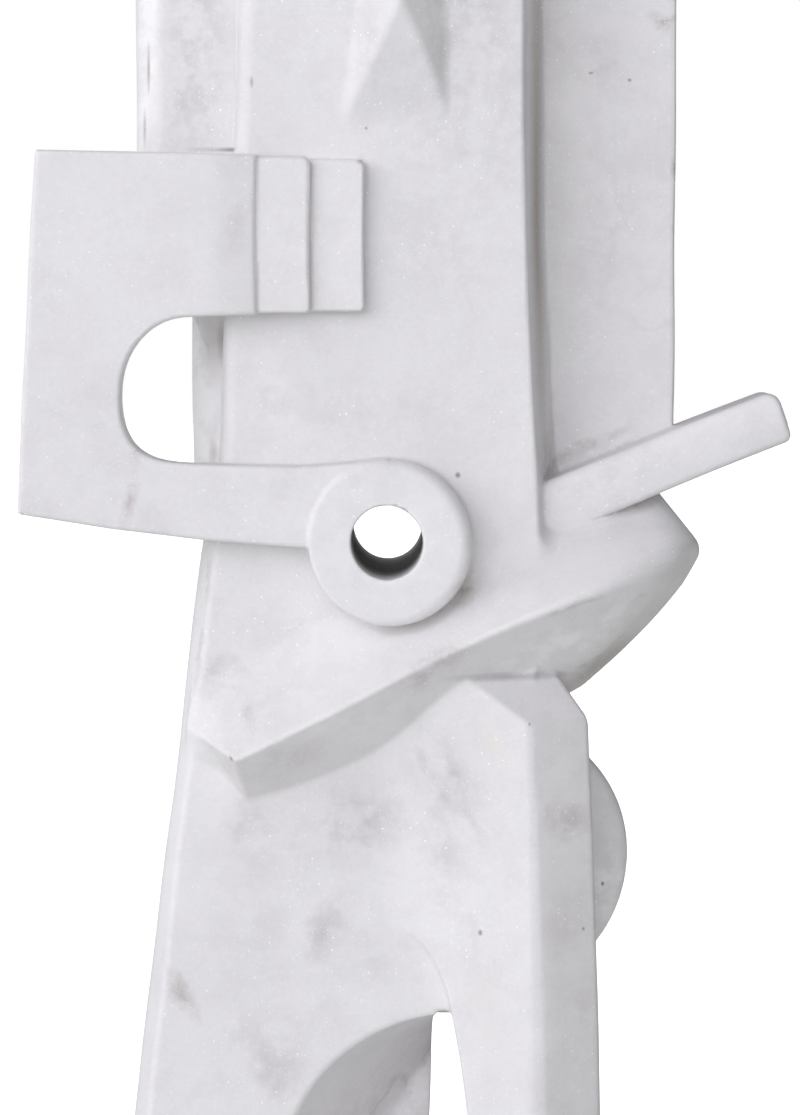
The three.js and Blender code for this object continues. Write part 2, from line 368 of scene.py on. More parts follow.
def boreField(x, y, z):
    # a round hole right through
    return discDistance(x, z, ring["boreCentre"], ring["bore"])


bar = dict(
    low=((22, 315.4), (0.41, -1)),
    high=((22, 330.6), (-0.402, 1)),
    end=((98.2, 348.4), (0.946, 0.325)),
    left=22,
    front=-30.6,
    swell=0.9,
    width=13.5,
    back=-3,
)


def barField(x, y, z):
    # a sloping bar: lower and upper lines not quite parallel, a slanting end with rounded corners and
    # a front that swells a little between the two lines
    low, high, end = (slant(x, z, *bar[line]) for line in ("low", "high", "end"))
    d = within(cut(cut(high, end, 3.6), low, 2), bar["left"] - x)
    across = (low - high) / bar["width"]
    front = bar["front"] - bar["swell"] * (1 - across**2) - y
    return cut(cut(d, front / 1.01, 1.4), y - bar["back"], 1.5)


# hip

hip = dict(
    start=(-43, 267),
    end=(75.4, 320.4),
    ridgeS=[-10, 0, 8, 18, 30, 40, 50, 62, 75, 86, 101, 115, 124, 129, 135],
    ridgeY=[-46.5, -49.3, -51.2, -52.4, -53, -52.8, -52.2, -52, -53, -54, -52.5, -47.5, -41, -34, -26],
    ridgeT=[-0.6, -0.4, -0.1, 0.3, 0.9, 1.5, 2.1, 2.5, 2.7, 2.6, 2.0, 1.7, 1.4, 0.8, 0],
    ridgeRound=([0, 60, 90, 120], [0.8, 1.2, 2.2, 5]),
    climb=([0, 45, 90], [0.95, 1.1, 1.4]),
    fall=([0, 50, 80], [1.18, 1.18, 1.28]),
    keelCentre=(-81.3, 428.6),
    keelRadius=190.5,
    keelSwell=([75, 88, 122, 134], [0, 2.4, 2.6, 1.2]),
    keelSlant=([60, 80, 88, 105, 120], [0.5, 0.45, 0.44, 0.38, 0.32]),
    keelBehind=([70, 88], [-25, -21]),
    tipEnd=((65.4, 333.2), (13.4, 10.4)),
    back=20,
    backTurn=(100, 0.2),
    top=337,
    leftPast=0.8,
    leftTurn=(0.6, 9),
    softT=([-3, 5], [0.7, 4.5]),
)
hipRidge = edgeLine(hip["ridgeS"], hip["ridgeY"])
hipLift = edgeLine(hip["ridgeS"], hip["ridgeT"])
hipTip = facet((-53.2, -36, 272.6), (-42.6, -48.6, 266.6), (-39.5, -36, 255.2), (-1, -1, -1))


def alongHip(x, z):
    # a frame along the ridge: s runs up it, t across it, from the ridge's own wavering line
    ux, uz = np.array(hip["end"]) - np.array(hip["start"])
    length = math.hypot(ux, uz)
    ux, uz = ux / length, uz / length
    s = (x - hip["start"][0]) * ux + (z - hip["start"][1]) * uz
    t = -(x - hip["start"][0]) * uz + (z - hip["start"][1]) * ux
    return s, t - hipLift(s)


def hipSoft(x, z):
    # the upper face melts into the waist, the lower one meets the thighs crisply
    return np.interp(alongHip(x, z)[1], *hip["softT"])


def hipField(x, y, z):
    # from the ridge one face climbs back to the waist and one falls back to the thighs; a round keel,
    # whose underside slants in towards the front, and two ends close it
    s, t = alongHip(x, z)
    ridge = hipRidge(s)
    climb, fall = np.interp(s, *hip["climb"]), np.interp(s, *hip["fall"])
    upper = (ridge + climb * t - y) / np.hypot(1, climb)
    lower = (ridge - fall * t - y) / np.hypot(1, fall)
    d = cut(upper, lower, np.interp(s, *hip["ridgeRound"]))
    d = cut(d, hipTip(x, y, z), 0.8)
    slanting = np.interp(s, *hip["keelSlant"]) * np.minimum(y - np.interp(s, *hip["keelBehind"]), 0)
    radius = hip["keelRadius"] + np.interp(s, *hip["keelSwell"]) + slanting
    d = cut(d, discDistance(x, z, hip["keelCentre"], radius) / 1.01, 1.0)
    d = cut(d, slant(x, z, *hip["tipEnd"]), 2.6)
    turnFrom, turn = hip["backTurn"]
    back = y - hip["back"] + turn * np.maximum(0, s - turnFrom)
    inward, most = hip["leftTurn"]
    left = bodyLeft(z) - hip["leftPast"] + np.clip((y - body["front"]) * inward, 0, most) - x
    return within(d, back, left, z - hip["top"])


# right leg

leg = dict(
    edgeTop=(31.7, -46.5, 275.6),
    edgeFoot=(38, -44, 20),
    rightZ=[20, 172, 220, 262, 300],
    rightX=[53, 50.1, 48.8, 47.3, 46],
    turn=0.66,
    twist=0.0006,
    twistFrom=200,
    swell=1.1,
    swellOver=4,
    roundZ=[150, 275],
    edgeRound=[2.0, 0.7],
    chamfer=((46, 276.9), (6.4, 4.3)),
    chamferFall=(-33, 0.13),
    back=36,
    top=290,
    foot=18,
    outer=[(60, 290), (60, 0), (20.3, 0), (19.6, 60), (18.6, 120)],
    gap=[(16.6, 172), (11.8, 202), (8.4, 213), (3.5, 220.5), (-3, 225.5), (-7.5, 236), (-7, 262), (0, 290)],
)
legLeft = facet(leg["edgeTop"], leg["edgeFoot"], (-5, -35.5, 250), (-1, -1, 0))
legTop = facet(leg["edgeTop"], (41, -31, 287.6), (15.5, -42, 287.2), (0, -1, 1))
legSide = edgeLine(leg["rightZ"], leg["rightX"])
legPath = roundPath(leg["outer"] + leg["gap"])


def legField(x, y, z):
    # a prow: a flat face and a slightly swelling one meet on a front edge, a third slopes off its top.
    # The swelling face falls back by its turn times the distance past the edge, less a swell that builds
    # up just past the edge
    (topX, topY, topZ), (footX, footY, footZ) = leg["edgeTop"], leg["edgeFoot"]
    along = (z - footZ) / (topZ - footZ)
    past = x - footX - along * (topX - footX)
    front = footY + along * (topY - footY)
    turn = leg["turn"] + leg["twist"] * (leg["twistFrom"] - z)
    swell = leg["swell"] * (1 - np.exp(-np.maximum(past, 0) / leg["swellOver"]))
    right = (front + turn * past - swell - y) / np.hypot(1, turn)
    d = cut(legLeft(x, y, z), right, np.interp(z, leg["roundZ"], leg["edgeRound"]))
    d = cut(d, legTop(x, y, z), 0.8)
    fallFrom, fall = leg["chamferFall"]
    chamfer = slant(x, z + fall * (y - fallFrom), *leg["chamfer"])
    d = cut(d, cut(x - legSide(z), chamfer, 1.0), 0.9)
    d = cut(d, outlineDistance(x, z, legPath), 1.0)
    return cutAll(1.4, d, y - leg["back"], z - leg["top"], leg["foot"] - z)


disc = dict(centre=(22.9, 239.2), radius=35.5, front=-12, back=42, taper=0.08)


def discField(x, y, z):
    # round, and a little smaller towards the back
    rim = discDistance(x, z, disc["centre"], disc["radius"]) + disc["taper"] * (y - disc["front"])
    return cut(cut(rim, disc["front"] - y, 3.2), y - disc["back"], 1.6)


feet = dict(
    toes=[(-61.2, 13.6), (37, 14.5)],
    front=-56,
    back=-30,
    foot=18,
    spread=0.09,
    top=((-56, 29), (-0.818, 1)),
)


def feetField(x, y, z):
    # each toe is a wedge that slopes down to the front
    d = np.full(x.shape, np.inf)
    for middle, half in feet["toes"]:
        side = np.abs(x - middle) - half - (y - feet["front"]) * feet["spread"]
        toe = cutAll(1.6, side / math.hypot(1, feet["spread"]), slant(y, z, *feet["top"]), feet["front"] - y)
        d = np.minimum(d, within(toe, y - feet["back"], feet["foot"] - z))
    return d


# chest wedge, neck and head

wedge = dict(
    leftLine=([400, 428, 457.5, 520, 545], [-19.7, -15.6, -11.3, -8.5, -7.5]),
    rightLine=([400, 429.5, 457.5, 520, 545], [10.8, 10.8, 10.8, 8.5, 7.5]),
    ridgeX=-1,
    height=([428, 457.5, 512, 530], [12, 9, 7, 0]),
    back=-20,
    top=532,
)
wedgeLeft = edgeLine(*wedge["leftLine"])
wedgeRight = edgeLine(*wedge["rightLine"])
wedgeFoot = facet((-15.6, -36, 428), (10.8, -36, 429.5), (-1, -45, 457.5), (0, -1, 0))


def wedgeField(x, y, z):
    # two faces rise from the flat chest to an upright ridge; a third slopes up from below to its start
    left, right, ridge = wedgeLeft(z), wedgeRight(z), wedge["ridgeX"]
    height = np.interp(z, *wedge["height"])
    leftFace = (body["front"] - height * (x - left) / (ridge - left) - y) / 1.33
    rightFace = (body["front"] - height * (right - x) / (right - ridge) - y) / 1.26
    d = cut(cut(leftFace, rightFace, 0.7), wedgeFoot(x, y, z), 0.9)
    return within(d, y - wedge["back"], z - wedge["top"])


head = dict(
    crown=(-4, 634, 24),
    neck=((-2.5, 2), (18.5, 22), (0.04, 0.03)),
    neckFrom=520,
    neckTo=590,
    face=(-4, 26),
    cheek=(7.5, 22.5),
    cheekOutline=[(0, 568), (24, 576), (27, 612), (27, 626), (0, 640)],
    ridge=([568, 578, 642, 648], [8, 12, 3, 0]),
    ridgeX=(-10.5, -2, 3.8),
    ridgeZ=(569, 646),
    ridgeFront=-29,
    ridgeBack=-20,
    ridgeLeft=(-11, 9),
    ridgeRight=(4, 6),
)
crownX, crownZ, crownRadius = head["crown"]
headOutline = np.vstack([
    [(6, 560), (6, crownZ + crownRadius)],
    [
        (crownX + crownRadius * math.cos(a), crownZ + crownRadius * math.sin(a))
        for a in np.linspace(math.pi / 2, math.pi, 14)
    ],
    [(-28, 592), (-18, 566)],
])


def headField(x, y, z):
    # a tall block with a round crown on one side, a lower block beside it, and an upright ridge in front
    (middleX, middleY), (halfX, halfY), (taperX, taperY) = head["neck"]
    up = z - head["neckFrom"]
    neck = cut(np.abs(x - middleX) - halfX + up * taperX, np.abs(y - middleY) - halfY + up * taperY, 2.5)
    neck = within(neck, -up, z - head["neckTo"])
    face = cut(outlineDistance(x, z, headOutline), np.abs(y - head["face"][0]) - head["face"][1], 2.0)
    cheek = outlineDistance(x, z, head["cheekOutline"])
    cheek = cut(cheek, np.abs(y - head["cheek"][0]) - head["cheek"][1], 1.8)
    height = np.interp(z, *head["ridge"])
    left, middle, right = head["ridgeX"]
    low, high = head["ridgeZ"]
    (leftFoot, leftRun), (rightFoot, rightRun) = head["ridgeLeft"], head["ridgeRight"]
    across = np.where(x < middle, (x - leftFoot) / leftRun, (rightFoot - x) / rightRun)
    ridge = (head["ridgeFront"] - height * across - y) / 1.7
    ridge = within(cutAll(1.0, ridge, left - x, x - right, low - z, z - high), y - head["ridgeBack"])
    return join(join(join(neck, face, 1.5), cheek, 1.2), ridge, 1.0)


# back and base

spine = dict(
    outline=[(22, 300), (20, 470), (12, 500), (-14, 500), (-18, 470), (-20, 300)],
    inner=20,
    level=38,
    back=47,
    taper=0.45,
)


def spineField(x, y, z):
    # a low upright slab whose outline draws in towards its face
    sheet = outlineDistance(x, z, spine["outline"]) + (y - spine["level"]) * spine["taper"]
    return within(cut(sheet / math.hypot(1, spine["taper"]), y - spine["back"], 1.4), spine["inner"] - y)


base = dict(halfX=89, halfY=62, height=22, corner=5)


def baseField(x, y, z):
    # a low slab with rounded upright corners, a softened top edge and a barely broken bottom edge
    plan = cut(np.abs(x) - base["halfX"], np.abs(y) - base["halfY"], base["corner"])
    return cut(cut(plan, z - base["height"], 2.0), -z, 0.7)


# each piece: its field, the box it lives in, and the radius at which it meets what is already there
pieces = [
    (leftSlabField, (-72, -30, 318, -28, 38, 525), 0.7),
    (rightSlabField, (18, -20, 318, 74, 36, 520), 0.6),
    (legField, (-12, -52, 16, 60, 40, 292), 1.6),
    (hipField, (-56, -58, 248, 80, 24, 338), hipSoft),
    (barField, (20, -34, 312, 100, 0, 364), 0.7),
    (plateField, (-99, -50, 316, -2, -18, 424), 0.7),
    (fingersField, (-44, -46, 375, -6, -28, 422), 0.6),
    (ringField, (-26, -52, 298, 19, -18, 345), 0.9),
    (discField, (-20, -15, 198, 62, 46, 281), 1.2),
    (wedgeField, (-24, -50, 400, 16, -18, 534), 0.9),
    (spineField, (-26, 18, 294, 28, 50, 506), 1.5),
    (headField, (-32, -46, 516, 32, 34, 662), 2.0),
    (feetField, (-82, -60, 14, 60, -28, 66), 1.5),
    (baseField, (-92, -65, -3, 92, 65, 26), 2.0),
]
pieceMargin = 3
hand = dict(
    waves=[(0.071, 0.013, 0.043, 0.4), (-0.024, 0.06, 0.081, 2.1), (0.018, -0.05, 0.117, 4.0)],
    strength=0.11,
    still=26,
    full=56,
)


def handCut(x, y, z):
    # slow waves of a fraction of a millimetre, so that no edge runs dead straight; none near the floor
    fade = hand["strength"] * np.clip((z - hand["still"]) / (hand["full"] - hand["still"]), 0, 1)
    out = []
    for shift, v in ((0.0, x), (1.7, y), (3.1, z)):
        wave = sum(np.sin(a * x + b * y + c * z + e + shift) for a, b, c, e in hand["waves"])
        out.append(v + fade * wave)
    return out


def stoneField(points):
    # the body less the arch, each piece joined on within reach of its box, and the bore through them all
    x, y, z = handCut(*np.asarray(points, float).T)
    total = cut(bodyField(x, y, z), -archField(x, y, z), 1.0)
    for field, (x0, y0, z0, x1, y1, z1), soft in pieces:
        middle = ((x0 + x1) / 2, (y0 + y1) / 2, (z0 + z1) / 2)
        half = ((x1 - x0) / 2, (y1 - y0) / 2, (z1 - z0) / 2)
        at = np.flatnonzero(block(x, y, z, middle, half) < pieceMargin)
        if at.size:
            radius = soft(x[at], z[at]) if callable(soft) else soft
            total[at] = join(total[at], field(x[at], y[at], z[at]), radius)
    return cut(total, -boreField(x, y, z), 0.5)


# from the field to a mesh, in millimetres until the vertices are placed

carving = dict(
    pitch=1.0,
    levels=3,
    triangles=190000,
    room=6,
    slack=2.5,
    chunk=400000,
    rounds=2,
    farthestMove=0.8,
    normalReach=0.3,
    feel=2.4,
)


def sampleField(low, high, pitch, levels):
    # values on a grid: each level halves the spacing and works out only the cells near the surface,
    # the rest keep their parent's value
    spacing = pitch * 2**levels
    count = np.ceil((high - low) / spacing).astype(int) + 1
    values = None
    for level in range(levels + 1):
        if values is None:
            near = np.ones(count, bool)
            values = np.zeros(count, np.float32)
        else:
            near = np.abs(values) < spacing * carving["slack"]
            for axis in range(3):
                values = np.repeat(values, 2, axis)
                near = np.repeat(near, 2, axis)
        cells = np.argwhere(near)
        found = np.empty(len(cells), np.float32)
        for start in range(0, len(cells), carving["chunk"]):
            part = slice(start, start + carving["chunk"])
            found[part] = stoneField(low + (cells[part] + 0.5) * spacing)
        values[near] = found
        spacing /= 2
    return values, low + pitch / 2


def surfaceNet(values, origin, pitch):
    # one vertex in each cell that the surface crosses, at the mean of its edge crossings; one quad round
    # each grid edge that changes sign, turned to face out
    inside = values < 0
    n = np.array(values.shape) - 1
    count = np.zeros(n, np.uint8)
    offsets = [(i, j, k) for i in (0, 1) for j in (0, 1) for k in (0, 1)]
    for i, j, k in offsets:
        count += inside[i:i + n[0], j:j + n[1], k:k + n[2]]
    cells = np.argwhere((count > 0) & (count < 8))
    number = np.full(n, -1, np.int32)
    number[tuple(cells.T)] = np.arange(len(cells))
    corner = {o: values[tuple((cells + o).T)].astype(float) for o in offsets}
    total = np.zeros((len(cells), 3))
    crossings = np.zeros(len(cells))
    for o in offsets:
        for axis in range(3):
            if o[axis]:
                continue
            p = tuple(1 if a == axis else o[a] for a in range(3))
            va, vb = corner[o], corner[p]
            hit = (va < 0) != (vb < 0)
            t = np.where(hit, va / np.where(hit, va - vb, 1), 0)
            for a in range(3):
                total[:, a] += np.where(hit, o[a] + (t if a == axis else 0), 0)
            crossings += hit
    vertices = origin + (cells + total / crossings[:, None]) * pitch
    quads = []
    for axis in range(3):
        b, c = (axis + 1) % 3, (axis + 2) % 3
        lower = [slice(0, n[a]) for a in range(3)]
        upper = list(lower)
        upper[axis] = slice(1, n[axis] + 1)
        first, second = inside[tuple(lower)], inside[tuple(upper)]
        edge = first != second
        inner = [slice(None)] * 3
        inner[b] = inner[c] = slice(1, None)
        spots = np.argwhere(edge[tuple(inner)])
        spots[:, b] += 1
        spots[:, c] += 1
        out = first[tuple(spots.T)]
        corners = []
        for db, dc in ((0, 0), (-1, 0), (-1, -1), (0, -1)):
            at = spots.copy()
            at[:, b] += db
            at[:, c] += dc
            corners.append(number[tuple(at.T)])
        four = np.stack(corners, 1)
        four[~out] = four[~out][:, ::-1]
        quads.append(four)
    return vertices, np.vstack(quads)


def slopes(points, reach=0.25):
    # the field's gradient by central differences
    out = np.empty_like(points)
    for axis in range(3):
        shift = np.zeros(3)
        shift[axis] = reach
        out[:, axis] = (stoneField(points + shift) - stoneField(points - shift)) / (2 * reach)
    return out


def settle(points, rounds):
    # moves each vertex along the gradient until it lies on the surface
    for _ in range(rounds):
        g = slopes(points)
        move = stoneField(points) / np.maximum((g**2).sum(1), 0.2)
        points = points - g * np.clip(move, -carving["farthestMove"], carving["farthestMove"])[:, None]
    return points


def meshFrom(name, vertices, faces):
    # an object at the origin, its place in its mesh
    mesh = bpy.data.meshes.new(name)
    mesh.from_pydata(vertices.tolist(), [], faces.tolist())
    mesh.update()
    thing = bpy.data.objects.new(name, mesh)
    bpy.context.scene.collection.objects.link(thing)
    return thing


def nearby(mesh, name, values):
    # a number from 0 to 1 on each vertex: how far the stone closes in over it, or falls away beside it
    layer = mesh.attributes.new(name, "FLOAT", "POINT")
    layer.data.foreach_set("value", np.clip(values, 0, 1).astype(np.float32))


def carve():
    # net, thinning, then vertices settled on the surface, with the field's own normals
    low, high = (np.array(v) * 1000 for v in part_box("figure"))
    low, high = low - carving["room"], high + carving["room"]
    values, origin = sampleField(low, high, carving["pitch"], carving["levels"])
    say(f"field sampled, {values.size} cells")
    vertices, quads = surfaceNet(values, origin, carving["pitch"])
    say(f"net of {len(quads)} quads")
    figure = meshFrom("carvedFigure", vertices / 1000, quads)
    thin = figure.modifiers.new("thin", "DECIMATE")
    thin.ratio = min(1, carving["triangles"] / (2 * len(quads)))
    thin.use_collapse_triangulate = True
    evaluated = figure.evaluated_get(bpy.context.evaluated_depsgraph_get())
    light = bpy.data.meshes.new_from_object(evaluated)
    figure.modifiers.clear()
    figure.data = light
    light.name = "carvedFigure"
    say(f"thinned to {len(light.polygons)} faces")
    place = np.empty(len(light.vertices) * 3)
    light.vertices.foreach_get("co", place)
    place = settle(place.reshape(-1, 3) * 1000, carving["rounds"])
    light.vertices.foreach_set("co", (place / 1000).ravel())
    normals = slopes(place, carving["normalReach"])
    normals /= np.linalg.norm(normals, axis=1)[:, None]
    feel = carving["feel"]
    # how enclosed each vertex is, for the painted shade in inner corners, and how convex, for the painted
    # highlight along edges
    nearby(light, "creviceShadeAndDust", 1 - stoneField(place + normals * feel) / feel)
    nearby(light, "ridge", 1 + stoneField(place - normals * feel) / feel)
    light.shade_smooth()
    light.normals_split_custom_set_from_vertices(normals.tolist())
    light.update()
    say("surface settled")
    return figure


figure = carve()
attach(figure, "root")
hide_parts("figure")


# marble


def addNode(tree, kind, **inputs):
    # a node whose named inputs are set, or linked where a socket is given
    node = tree.nodes.new(kind)
    for name, value in inputs.items():
        socket = node.inputs[name.replace("_", " ")]
        if isinstance(value, bpy.types.NodeSocket):
            tree.links.new(value, socket)
        else:
            socket.default_value = value
    return node


def mathNode(tree, operation, first, second=0.0):
    # one Math node; numbers and sockets may be mixed
    node = tree.nodes.new("ShaderNodeMath")
    node.operation = operation
    for value, socket in zip((first, second), node.inputs):
        if isinstance(value, bpy.types.NodeSocket):
            tree.links.new(value, socket)
        else:
            socket.default_value = value
    return node.outputs[0]


def vectorNode(tree, operation, first, second=None):
    # one Vector Math node; the second input may be a vector or a socket
    node = tree.nodes.new("ShaderNodeVectorMath")
    node.operation = operation
    tree.links.new(first, node.inputs[0])
    if isinstance(second, bpy.types.NodeSocket):
        tree.links.new(second, node.inputs[1])
    elif second is not None:
        node.inputs[1].default_value = second
    return node.outputs["Value" if operation in ("LENGTH", "DOT_PRODUCT") else "Vector"]


def ramp(tree, value, low, high, least=0.0, most=1.0):
    # eases from least to most as the value goes from low to high
    node = addNode(tree, "ShaderNodeMapRange", Value=value)
    node.interpolation_type = "SMOOTHSTEP"
    for name, number in (("From Min", low), ("From Max", high), ("To Min", least), ("To Max", most)):
        node.inputs[name].default_value = number
    return node.outputs[0]


def noise(tree, place, scale, detail, roughness):
    return addNode(tree, "ShaderNodeTexNoise", Vector=place, Scale=scale, Detail=detail, Roughness=roughness)


def tint(tree, colour, tone, amount):
    # the colour, moved towards the tone by the amount
    node = tree.nodes.new("ShaderNodeMix")
    node.data_type = "RGBA"
    factor, first, second = (node.inputs[i] for i in (0, 6, 7))
    tree.links.new(amount, factor)
    if isinstance(colour, bpy.types.NodeSocket):
        tree.links.new(colour, first)
    else:
        first.default_value = (*colour, 1)
    second.default_value = (*tone, 1)
    return node.outputs[2]


marble = dict(
    white=(0.85, 0.845, 0.85),
    # a pale tone, painted as light on faces in shade and along convex edges, where it also stands for wear
    paintedLightAndWear=(0.94, 0.935, 0.94),
    grey=(0.56, 0.55, 0.565),
    mauve=(0.50, 0.455, 0.475),
    brown=(0.43, 0.385, 0.35),
    cream=(0.82, 0.78, 0.70),
    dark=(0.09, 0.08, 0.08),
    # pure white for painted glints
    paintedGlint=(1.0, 1.0, 1.0),
)

# marks in the stone's front: middle (x, y, z), half sizes across and along, turn in degrees, strength
clouds = [
    # rows in the pale tone are painted light that lifts faces in shade: the waist, ring, fingers, torso
    # beside the plate, leg, disc, arch facet and shoulder bevel
    ("paintedLightAndWear", (-51, -14, 350), (12, 34), 0, 1.2),
    ("paintedLightAndWear", (-3.4, -46, 321.4), (30, 30), 0, 0.6),
    ("paintedLightAndWear", (-20, -42, 399), (22, 26), 0, 0.4),
    ("paintedLightAndWear", (-33, -36, 358), (14, 26), 0, 0.5),
    ("paintedLightAndWear", (44, -40, 262), (10, 26), 0, 0.5),
    ("paintedLightAndWear", (53, -12, 226), (9, 18), 0, 1.5),
    ("paintedLightAndWear", (2, 11, 171), (9, 17), 30, 1.4),
    ("paintedLightAndWear", (-66, -20, 465), (4, 70), 0, 1.5),
    ("grey", (-38, -36, 222), (16, 40), 0, 0.18),
    # painted shade in the arch's scoop
    ("grey", (-15, 0, 176), (14, 20), 0, 0.55),
    ("grey", (-9, -40, 446), (8, 20), 0, 0.3),
    # more painted light, on the waist's outer strip and the hip
    ("paintedLightAndWear", (-53.5, -12, 356), (4, 30), 0, 1.5),
    ("paintedLightAndWear", (-19, -44, 278), (24, 12), 0, 0.6),
    ("paintedLightAndWear", (46, -41, 300), (9, 34), 66, 0.9),
    ("grey", (-54, -23, 452), (9, 60), 0, 0.3),
    ("grey", (56, -31, 340), (30, 9), -22, 0.3),
    ("grey", (12, -36, 470), (16, 40), 0, 0.3),
    ("grey", (20, -36, 450), (34, 80), 0, 0.32),
    # painted light on the right slab beside the groove
    ("paintedLightAndWear", (42, -13.5, 434), (10, 14), 0, 0.5),
    ("grey", (2, -36, 396), (16, 18), 0, 0.12),
    ("grey", (13, -36, 386), (8, 24), 0, 0.12),
    ("grey", (-50, -22, 470), (13, 80), 0, 0.42),
    ("grey", (50, -14, 420), (24, 80), 6, 0.14),
    ("mauve", (52, -14, 443), (9, 5), 60, 0.22),
    ("mauve", (56, -14, 398), (12, 20), 20, 0.10),
    ("grey", (-12, -38, 250), (14, 30), 70, 0.34),
    ("grey", (-33, -36, 192), (14, 11), 60, 0.34),
    ("grey", (-6, -36, 214), (13, 10), 60, 0.25),
    ("mauve", (-42.5, -47, 400), (5, 11), 10, 0.16),
    ("mauve", (-56, -24, 430), (3.5, 9), 12, 0.22),
    ("mauve", (-45, -40, 285), (10, 9), 20, 0.36),
    ("mauve", (-28, -45, 266), (6, 18), 66, 0.26),
    ("mauve", (-10, -37, 251), (13, 9), 20, 0.36),
    ("mauve", (-38, -36, 249), (12, 8), 70, 0.30),
    ("mauve", (10, -38, 243), (8, 18), 0, 0.30),
    ("mauve", (14, -40, 263), (6, 14), -14, 0.30),
    ("mauve", (-19.4, -36, 223), (6.5, 12), 34, 0.48),
    ("mauve", (-32, -36, 186), (8, 9), 20, 0.3),
    ("mauve", (41.4, -38, 251), (8.5, 6), 8, 0.62),
    ("mauve", (41.5, -38, 225), (8, 13), 0, 0.26),
    ("mauve", (44, -37, 200), (8, 13), 0, 0.2),
    ("mauve", (7, -46, 289), (5.5, 13), 62, 0.36),
    ("brown", (7, -50, 290.5), (4, 11), 66, 0.36),
    ("brown", (-24, -46, 277.5), (4.5, 18), 66, 0.1),
    ("brown", (-42.5, -46, 266), (5, 6), 0, 0.26),
    ("brown", (23.4, -36, 447.5), (4, 4), 0, 0.2),
    ("brown", (66, -14, 453), (5, 3), 30, 0.4),
    # brown on the hip's underside: partly stain, partly painted shade
    ("brown", (51.5, -29, 291), (4.5, 12), 54, 0.3),
    # painted shadow at the ring's lower right, partly brown grime
    ("brown", (15.5, -40, 309), (4, 9), 50, 0.65),
    # brown where the bar meets the torso's wall and the right slab: painted contact shade, partly dust
    ("brown", (35, -17, 341), (5, 14), 10, 0.7),
    ("brown", (45, -14, 342.4), (2.6, 16), 66, 0.6),
    ("cream", (24, -44, 271), (5, 8), -20, 0.35),
    ("cream", (22, -42, 205), (5, 16), 0, 0.25),
    ("cream", (-43, -44, 268), (3, 4), 0, 0.4),
]
veins = [
    ("mauve", (-66.4, -47, 341.5), (1.8, 6), 26, 0.36),
    ("mauve", (-69.3, -47, 331.5), (2.4, 8), 20, 0.62),
    ("mauve", (-46, -40, 290), (2.2, 7.5), 66, 0.36),
    ("mauve", (-39.6, -41, 289), (2.0, 6), -40, 0.34),
    ("mauve", (-38, -43, 277), (2.4, 11), -6, 0.42),
    ("mauve", (-33, -44, 281), (2.4, 9), 60, 0.22),
    ("mauve", (-20.5, -36, 352), (0.8, 3), -50, 0.3),
    ("mauve", (7.3, -38, 263.5), (2.4, 8), -30, 0.48),
    ("grey", (11, -38, 256), (2, 6), -40, 0.5),
    ("mauve", (14, -40, 262), (2.2, 10), -12, 0.34),
    ("mauve", (17.2, -40, 251), (2.2, 9), -32, 0.36),
    ("mauve", (18, -41, 225), (1.8, 7), -20, 0.3),
    ("brown", (-55.8, -36, 205), (3.6, 8.5), -30, 0.6),
    ("dark", (43.5, -55, 308), (0.9, 10), 66, 0.5),
    ("dark", (66, -50, 317.6), (0.7, 5), 72, 0.4),
    ("dark", (58, -46, 309), (0.6, 4), 60, 0.3),
    ("mauve", (62, -40, 303.5), (1.8, 7), 24, 0.4),
    ("dark", (50, -34, 292.5), (1.1, 13), 56, 0.3),
    ("brown", (-48.6, -30, 314), (0.9, 10), 6, 0.6),
    ("brown", (-51.8, -30, 292), (0.9, 10), 8, 0.5),
    ("brown", (69.6, -11, 416), (1.8, 3.6), 0, 1.2),
    ("brown", (69.6, -11, 400), (1.8, 3), 0, 1.2),
    ("dark", (67, -12, 453.5), (1.0, 5), 60, 0.4),
]
pits = [
    ("dark", (-9.5, -36, 425.5), (0.5, 0.5), 0, 0.7),
    ("dark", (13.6, -36, 338.2), (0.9, 1.0), 0, 0.9),
    ("dark", (19.3, -41, 222.8), (0.8, 1.0), 0, 1.0),
    ("dark", (51.4, -12, 231.5), (0.6, 0.8), 0, 1.0),
    ("dark", (45.4, -38, 223.4), (0.6, 0.7), 0, 0.8),
    ("dark", (57.8, -13, 438.5), (0.7, 0.6), 0, 0.8),
    ("dark", (47.9, -13, 440.3), (0.9, 0.5), 0, 0.7),
    ("dark", (-43.3, -47, 267.5), (0.5, 1.1), -30, 0.8),
    ("brown", (-38.3, -35, 437), (0.6, 2), 0, 1.0),
    ("dark", (31.5, -45.6, 276), (0.5, 0.5), 0, 0.7),
]
# painted shade in the groove and under the shoulder, brown on the hip's underside that is partly stain and
# partly painted shade, painted contact shade along the plate's top and a few brown flecks; then the painted
# shade inside the bore and in the crease under the hip, which reach deep
creases = [
    # painted shade on the torso's wall in the groove beside the right slab
    ("brown", (33.6, -22.5, 400), (5.2, 160), 2, 1.1),
    # painted shadow under the shoulder, on the top of the waist
    ("brown", (-48.6, -16, 371), (4.6, 13), 0, 0.45),
    ("dark", (-46.3, -18, 372), (1.8, 8), 0, 0.5),
    # brown on the hip's underside: partly stain, partly painted shade
    ("brown", (52.2, -28, 289.4), (4.4, 18), 54, 1.1),
    # painted contact shade on the shoulder along the plate's top
    ("brown", (-47.5, -24, 420.4), (0.9, 10), 90, 0.7),
    ("dark", (-43.6, -24, 420.4), (0.7, 4), 90, 0.7),
    # brown flecks on the shoulder's bevel and the waist
    ("brown", (-64.9, -22, 441), (0.6, 8), 0, 0.9),
    ("brown", (-66, -21, 426), (0.6, 6), 0, 0.8),
    ("brown", (-48.7, -15, 343), (1.6, 5), 0, 0.7),
]
